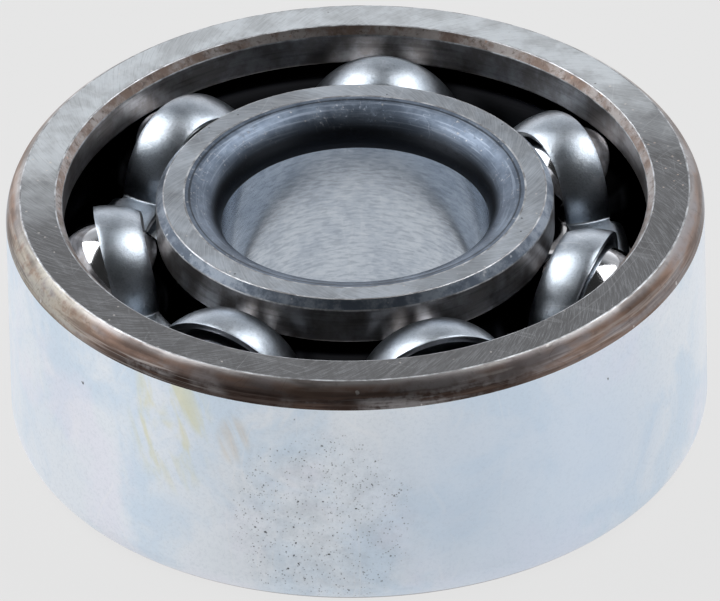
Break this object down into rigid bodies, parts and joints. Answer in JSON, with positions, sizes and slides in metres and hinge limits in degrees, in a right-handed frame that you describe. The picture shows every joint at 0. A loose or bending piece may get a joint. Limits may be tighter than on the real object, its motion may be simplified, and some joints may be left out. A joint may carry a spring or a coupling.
{
  "type": "deep groove ball bearing",
  "caption": "Open deep-groove ball bearing in wide ground-steel rings, with a two-part pressed ribbon cage clinched by tabs; carries a shaft that turns in a housing.",
  "frame": {"origin": "centre of the bearing: on its axis, midway between the two side faces", "axes": "+Z along the bearing axis, towards the side face that the ball row lies nearest to; X and Y in the plane of the rings"},
  "size_m": [0.026, 0.026, 0.0098],
  "materials": {
    "outer_ring_steel": "ground, satin, with a bronze oxide film on the rounded corners",
    "inner_ring_steel": "ground, satin, fine scratches",
    "ball_steel": "mirror polished",
    "cage_sheet": "pressed sheet, soft satin"
  },
  "bodies": {
    "outer_ring": {"outer_ring": "outer_ring_steel"},
    "inner_ring": {"inner_ring": "inner_ring_steel"},
    "cage": {"cage_upper": "cage_sheet", "cage_lower": "cage_sheet"},
    "ball_1": {"ball_1": "ball_steel"},
    "ball_2": {"ball_2": "ball_steel"},
    "ball_3": {"ball_3": "ball_steel"},
    "ball_4": {"ball_4": "ball_steel"},
    "ball_5": {"ball_5": "ball_steel"},
    "ball_6": {"ball_6": "ball_steel"},
    "ball_7": {"ball_7": "ball_steel"}
  },
  "joints": [
    {"name": "inner_ring_spin", "type": "hinge", "parent": "outer_ring", "child": "inner_ring", "pos_m": [0, 0, 0], "axis": [0, 0, 1], "continuous": true},
    {"name": "cage_spin", "type": "hinge", "parent": "outer_ring", "child": "cage", "pos_m": [0, 0, 0], "axis": [0, 0, 1], "continuous": true},
    {"name": "ball_1_spin", "type": "hinge", "parent": "cage", "child": "ball_1", "pos_m": [0.0079, 0.00481, 0.00143], "axis": [0, 0, 1], "continuous": true},
    {"name": "ball_2_spin", "type": "hinge", "parent": "cage", "child": "ball_2", "pos_m": [0.00117, 0.00918, 0.00143], "axis": [0, 0, 1], "continuous": true},
    {"name": "ball_3_spin", "type": "hinge", "parent": "cage", "child": "ball_3", "pos_m": [-0.00644, 0.00664, 0.00143], "axis": [0, 0, 1], "continuous": true},
    {"name": "ball_4_spin", "type": "hinge", "parent": "cage", "child": "ball_4", "pos_m": [-0.00921, -0.0009, 0.00143], "axis": [0, 0, 1], "continuous": true},
    {"name": "ball_5_spin", "type": "hinge", "parent": "cage", "child": "ball_5", "pos_m": [-0.00504, -0.00776, 0.00143], "axis": [0, 0, 1], "continuous": true},
    {"name": "ball_6_spin", "type": "hinge", "parent": "cage", "child": "ball_6", "pos_m": [0.00293, -0.00877, 0.00143], "axis": [0, 0, 1], "continuous": true},
    {"name": "ball_7_spin", "type": "hinge", "parent": "cage", "child": "ball_7", "pos_m": [0.00869, -0.00318, 0.00143], "axis": [0, 0, 1], "continuous": true}
  ],
  "couplings": [
    {"joint": "cage_spin", "follows": "inner_ring_spin", "ratio": 0.36486},
    {"joint": "ball_1_spin", "follows": "inner_ring_spin", "ratio": -1.7149},
    {"joint": "ball_2_spin", "follows": "inner_ring_spin", "ratio": -1.7149},
    {"joint": "ball_3_spin", "follows": "inner_ring_spin", "ratio": -1.7149},
    {"joint": "ball_4_spin", "follows": "inner_ring_spin", "ratio": -1.7149},
    {"joint": "ball_5_spin", "follows": "inner_ring_spin", "ratio": -1.7149},
    {"joint": "ball_6_spin", "follows": "inner_ring_spin", "ratio": -1.7149},
    {"joint": "ball_7_spin", "follows": "inner_ring_spin", "ratio": -1.7149}
  ]
}
